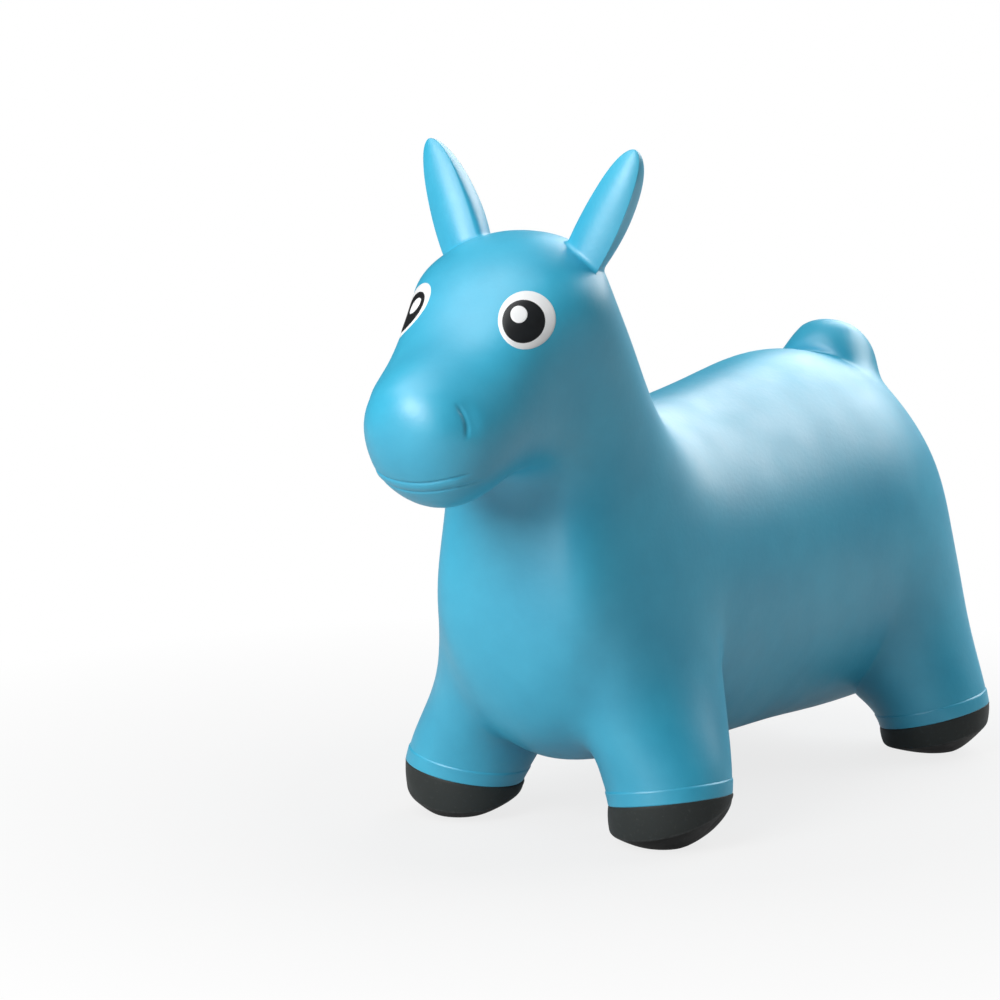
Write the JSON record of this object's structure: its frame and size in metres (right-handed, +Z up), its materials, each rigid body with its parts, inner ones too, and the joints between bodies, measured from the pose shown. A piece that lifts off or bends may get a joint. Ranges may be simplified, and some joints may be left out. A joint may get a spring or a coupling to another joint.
{
  "type": "bouncy ride-on horse",
  "caption": "Blown-up vinyl ride-on horse with splayed stumpy legs, dark hooves, printed eyes, flexible ears to hold on to and a push-in air plug; it bounces when sat on.",
  "frame": {"origin": "On the floor, at the middle of the bounding box's underside", "axes": "+Z up; the horse faces -Y and its left side is +X"},
  "size_m": [0.2846, 0.6215, 0.481],
  "materials": {
    "vinyl_blue": "satin soft vinyl, light blue, moulded in one colour",
    "hoof_paint": "dark grey paint on the vinyl",
    "eye_white": "white print",
    "eye_black": "black print",
    "plug_white": "plain white plastic"
  },
  "bodies": {
    "stance": {"front_left_leg": "vinyl_blue", "front_right_leg": "vinyl_blue", "rear_left_leg": "vinyl_blue", "rear_right_leg": "vinyl_blue", "front_left_hoof": "hoof_paint", "front_right_hoof": "hoof_paint", "rear_left_hoof": "hoof_paint", "rear_right_hoof": "hoof_paint"},
    "trunk": {"barrel": "vinyl_blue", "head": "vinyl_blue", "tail": "vinyl_blue", "left_eye_white": "eye_white", "right_eye_white": "eye_white", "left_eye_pupil": "eye_black", "right_eye_pupil": "eye_black", "left_eye_glint": "eye_white", "right_eye_glint": "eye_white", "valve_seat": "vinyl_blue"},
    "ear_left": {"left_ear": "vinyl_blue"},
    "ear_right": {"right_ear": "vinyl_blue"},
    "plug": {"valve_plug": "plug_white"}
  },
  "joints": [
    {"name": "bounce", "type": "slide", "parent": "stance", "child": "trunk", "axis": [0, 0, 1], "range_m": [-0.015, 0], "stiffness_N_per_m": 6000, "springref_m": 0.0025, "deforming": ["front_left_leg", "front_right_leg", "rear_left_leg", "rear_right_leg"]},
    {"name": "left_ear_flex", "type": "hinge", "parent": "trunk", "child": "ear_left", "pos_m": [0.045, -0.149, 0.401], "axis": [0.9005, -0.0368, -0.4333], "range_deg": [-20, 20], "stiffness_Nm_per_rad": 0.9},
    {"name": "right_ear_flex", "type": "hinge", "parent": "trunk", "child": "ear_right", "pos_m": [-0.045, -0.149, 0.401], "axis": [0.9005, 0.0368, 0.4333], "range_deg": [-20, 20], "stiffness_Nm_per_rad": 0.9},
    {"name": "plug_pull", "type": "slide", "parent": "trunk", "child": "plug", "axis": [0, 1, 0], "range_m": [0, 0.03]}
  ]
}
